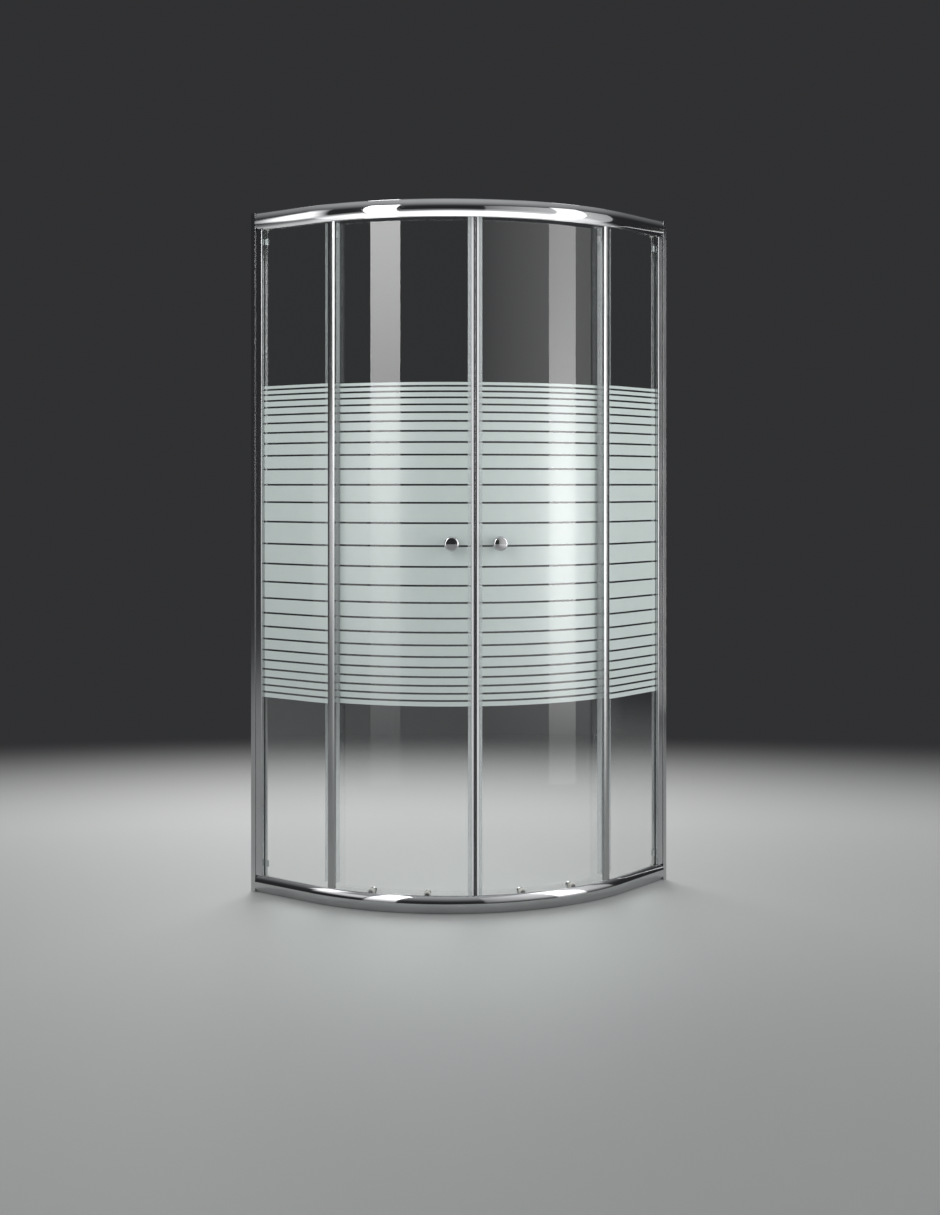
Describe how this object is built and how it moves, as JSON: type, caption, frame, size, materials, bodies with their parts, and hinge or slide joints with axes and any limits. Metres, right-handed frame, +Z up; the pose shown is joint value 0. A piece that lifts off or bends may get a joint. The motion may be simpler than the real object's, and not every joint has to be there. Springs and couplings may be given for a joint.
{
  "type": "shower screen",
  "caption": "Quadrant shower enclosure with curved chrome rails, fixed side panes, curved sliding glass doors on rollers, magnetic meeting seals and round knobs.",
  "frame": {"origin": "floor level, under the middle of the square that the enclosure fills", "axes": "+Z up, left wall at -X, back wall at +Y, curved front towards +X and -Y"},
  "size_m": [0.7999, 0.7999, 1.8],
  "materials": {
    "chrome": "polished and chrome plated",
    "glass": "clear with a frosted striped band",
    "clear_seal": "translucent soft plastic",
    "magnet": "dark magnetic strip",
    "rubber": "grey rubber",
    "nylon": "pale nylon",
    "steel": "stainless",
    "knob_chrome": "polished chrome"
  },
  "bodies": {
    "frame": {"top_rail": "chrome", "bottom_rail": "chrome", "rail_end_blocks": "nylon", "frame_screws": "steel", "glass_clips": "clear_seal", "door_stops": "rubber", "lock_screws": "steel", "screw_caps": "knob_chrome", "top_glazing": "rubber", "bottom_glazing": "rubber", "wall_profile_left": "chrome", "wall_profile_right": "chrome", "side_profile_left": "chrome", "side_profile_right": "chrome", "side_glazing_left": "rubber", "side_glazing_right": "rubber", "fixed_glass_left": "glass", "fixed_glass_right": "glass", "edge_profile_left": "chrome", "edge_profile_right": "chrome", "edge_seal_left": "clear_seal", "edge_seal_right": "clear_seal"},
    "door_left": {"door_glass_left": "glass", "magnet_seal_left": "clear_seal", "magnet_strip_left": "magnet", "rear_seal_left": "clear_seal", "rear_bumper_left": "nylon", "outer_knob_left": "knob_chrome", "inner_knob_left": "knob_chrome", "knob_bolt_left": "steel", "knob_washers_left": "rubber", "roller_axles_left": "steel", "roller_bushes_left": "nylon", "roller_nuts_left": "knob_chrome"},
    "door_right": {"door_glass_right": "glass", "magnet_seal_right": "clear_seal", "magnet_strip_right": "magnet", "rear_seal_right": "clear_seal", "rear_bumper_right": "nylon", "outer_knob_right": "knob_chrome", "inner_knob_right": "knob_chrome", "knob_bolt_right": "steel", "knob_washers_right": "rubber", "roller_axles_right": "steel", "roller_bushes_right": "nylon", "roller_nuts_right": "knob_chrome"},
    "top_wheel_front_left": {"top_wheel_front_left": "nylon"},
    "top_wheel_rear_left": {"top_wheel_rear_left": "nylon"},
    "bottom_wheel_front_left": {"bottom_wheel_front_left": "nylon"},
    "bottom_wheel_rear_left": {"bottom_wheel_rear_left": "nylon"},
    "top_wheel_front_right": {"top_wheel_front_right": "nylon"},
    "top_wheel_rear_right": {"top_wheel_rear_right": "nylon"},
    "bottom_wheel_front_right": {"bottom_wheel_front_right": "nylon"},
    "bottom_wheel_rear_right": {"bottom_wheel_rear_right": "nylon"}
  },
  "joints": [
    {"name": "door_left_slide", "type": "hinge", "parent": "frame", "child": "door_left", "pos_m": [-0.2, 0.2, 0.9], "axis": [0, 0, -1], "range_deg": [0, 21]},
    {"name": "door_right_slide", "type": "hinge", "parent": "frame", "child": "door_right", "pos_m": [-0.2, 0.2, 0.9], "axis": [0, 0, 1], "range_deg": [0, 21]},
    {"name": "top_wheel_front_left_spin", "type": "hinge", "parent": "door_left", "child": "top_wheel_front_left", "pos_m": [0.10794, -0.27966, 1.7803], "axis": [0.5402, -0.8415, 0], "range_deg": [0, 1340]},
    {"name": "top_wheel_rear_left_spin", "type": "hinge", "parent": "door_left", "child": "top_wheel_rear_left", "pos_m": [-0.02481, -0.34241, 1.7803], "axis": [0.3074, -0.9516, 0], "range_deg": [0, 1340]},
    {"name": "bottom_wheel_front_left_spin", "type": "hinge", "parent": "door_left", "child": "bottom_wheel_front_left", "pos_m": [0.10794, -0.27966, 0.0433], "axis": [0.5402, -0.8415, 0], "range_deg": [0, 1720]},
    {"name": "bottom_wheel_rear_left_spin", "type": "hinge", "parent": "door_left", "child": "bottom_wheel_rear_left", "pos_m": [-0.02481, -0.34241, 0.0433], "axis": [0.3074, -0.9516, 0], "range_deg": [0, 1720]},
    {"name": "top_wheel_front_right_spin", "type": "hinge", "parent": "door_right", "child": "top_wheel_front_right", "pos_m": [0.27966, -0.10794, 1.7803], "axis": [-0.8415, 0.5402, 0], "range_deg": [0, 1340]},
    {"name": "top_wheel_rear_right_spin", "type": "hinge", "parent": "door_right", "child": "top_wheel_rear_right", "pos_m": [0.34241, 0.02481, 1.7803], "axis": [-0.9516, 0.3074, 0], "range_deg": [0, 1340]},
    {"name": "bottom_wheel_front_right_spin", "type": "hinge", "parent": "door_right", "child": "bottom_wheel_front_right", "pos_m": [0.27966, -0.10794, 0.0433], "axis": [-0.8415, 0.5402, 0], "range_deg": [0, 1720]},
    {"name": "bottom_wheel_rear_right_spin", "type": "hinge", "parent": "door_right", "child": "bottom_wheel_rear_right", "pos_m": [0.34241, 0.02481, 0.0433], "axis": [-0.9516, 0.3074, 0], "range_deg": [0, 1720]}
  ],
  "couplings": [
    {"joint": "top_wheel_front_left_spin", "follows": "door_left_slide", "ratio": 63.333},
    {"joint": "top_wheel_rear_left_spin", "follows": "door_left_slide", "ratio": 63.333},
    {"joint": "bottom_wheel_front_left_spin", "follows": "door_left_slide", "ratio": 81.429},
    {"joint": "bottom_wheel_rear_left_spin", "follows": "door_left_slide", "ratio": 81.429},
    {"joint": "top_wheel_front_right_spin", "follows": "door_right_slide", "ratio": 63.333},
    {"joint": "top_wheel_rear_right_spin", "follows": "door_right_slide", "ratio": 63.333},
    {"joint": "bottom_wheel_front_right_spin", "follows": "door_right_slide", "ratio": 81.429},
    {"joint": "bottom_wheel_rear_right_spin", "follows": "door_right_slide", "ratio": 81.429}
  ]
}
